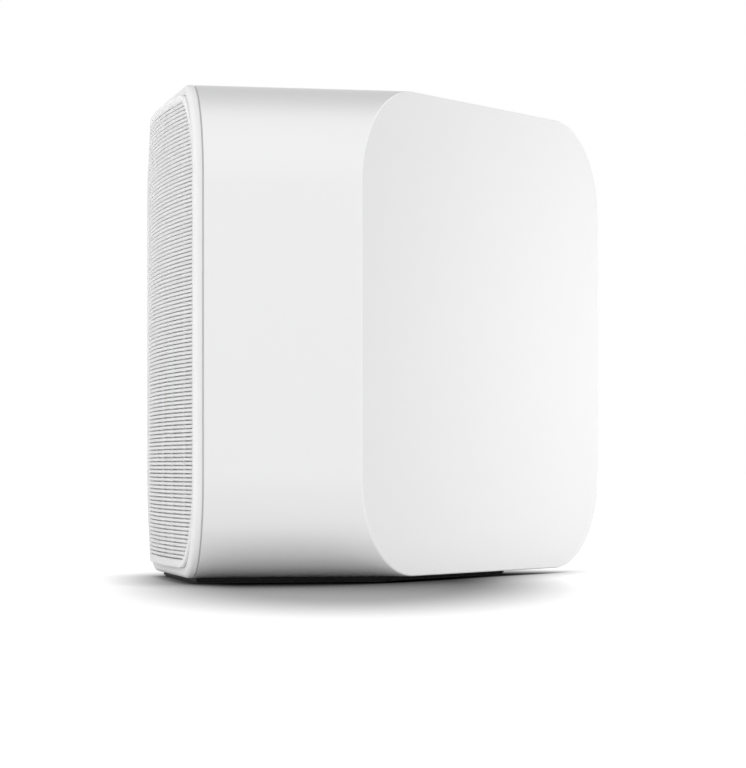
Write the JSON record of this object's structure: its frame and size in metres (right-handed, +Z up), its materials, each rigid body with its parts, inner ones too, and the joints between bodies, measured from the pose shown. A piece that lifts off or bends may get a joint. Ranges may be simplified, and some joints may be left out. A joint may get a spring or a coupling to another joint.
{
  "type": "wireless speaker",
  "caption": "compact wireless speaker with a white rounded sleeve, a slotted grille at one end, an angled square panel at the other and a low black foot",
  "frame": {"origin": "middle of the outline in plan, on the surface that the speaker stands on", "axes": "+Z up, +Y towards the back wall with the sockets, +X from the grille towards the angled end panel"},
  "size_m": [0.212, 0.142, 0.2004],
  "materials": {
    "sleeve_paint": "satin white",
    "panel_gloss": "smooth white",
    "white_plastic": "fine matt white",
    "dark_plastic": "fine matt black",
    "seal_rubber": "matt",
    "acoustic_cloth": "fine weave",
    "baffle_board": "pressed fibre board",
    "driver_steel": "satin dark",
    "spider_cloth": "stiffened weave",
    "cone_paper": "coated paper",
    "copper_wire": "lacquered copper",
    "screw_steel": "zinc plated",
    "wadding_fibre": "soft fibre",
    "circuit_board": "lacquered",
    "bare_aluminium": "extruded",
    "transformer_tape": "wound tape over ferrite",
    "pin_steel": "nickel plated",
    "button_plastic": "fine matt",
    "foot_plastic": "fine matt black"
  },
  "bodies": {
    "speaker": {"sleeve": "sleeve_paint", "end_panel": "panel_gloss", "end_frame": "dark_plastic", "seam_gasket": "seal_rubber", "grille_frame": "white_plastic", "grille": "white_plastic", "grille_cloth": "acoustic_cloth", "baffle": "baffle_board", "woofer_basket": "driver_steel", "woofer_magnet": "driver_steel", "woofer_surround": "seal_rubber", "woofer_spider": "spider_cloth", "tweeter_plate": "driver_steel", "tweeter_dome": "cone_paper", "tweeter_motor": "driver_steel", "driver_screws": "screw_steel", "wadding": "wadding_fibre", "amplifier_board": "circuit_board", "heat_sink": "bare_aluminium", "radio_module": "bare_aluminium", "antenna": "copper_wire", "power_board": "circuit_board", "transformer": "transformer_tape", "board_standoffs": "screw_steel", "control_board": "circuit_board", "tact_switches": "dark_plastic", "connector_panel": "dark_plastic", "panel_screws": "screw_steel", "mains_inlet": "dark_plastic", "inlet_pins": "pin_steel", "line_socket": "dark_plastic", "foot_plate": "foot_plastic", "foot_screws": "screw_steel", "foot_pad": "seal_rubber"},
    "woofer_motion": {"woofer_cone": "cone_paper", "dust_cap": "cone_paper", "voice_coil": "copper_wire"},
    "power_key": {"power_button": "button_plastic"},
    "pairing_key": {"pairing_button": "button_plastic"},
    "volume_down_key": {"volume_down_button": "button_plastic"},
    "volume_up_key": {"volume_up_button": "button_plastic"}
  },
  "joints": [
    {"name": "woofer_stroke", "type": "slide", "parent": "speaker", "child": "woofer_motion", "axis": [-1, 0, 0], "range_m": [-0.0025, 0.0025], "stiffness_N_per_m": 1200},
    {"name": "power_press", "type": "slide", "parent": "speaker", "child": "power_key", "axis": [0, -1, 0], "range_m": [0, 0.0008], "stiffness_N_per_m": 400},
    {"name": "pairing_press", "type": "slide", "parent": "speaker", "child": "pairing_key", "axis": [0, -1, 0], "range_m": [0, 0.0008], "stiffness_N_per_m": 400},
    {"name": "volume_down_press", "type": "slide", "parent": "speaker", "child": "volume_down_key", "axis": [0, -1, 0], "range_m": [0, 0.0008], "stiffness_N_per_m": 400},
    {"name": "volume_up_press", "type": "slide", "parent": "speaker", "child": "volume_up_key", "axis": [0, -1, 0], "range_m": [0, 0.0008], "stiffness_N_per_m": 400}
  ]
}
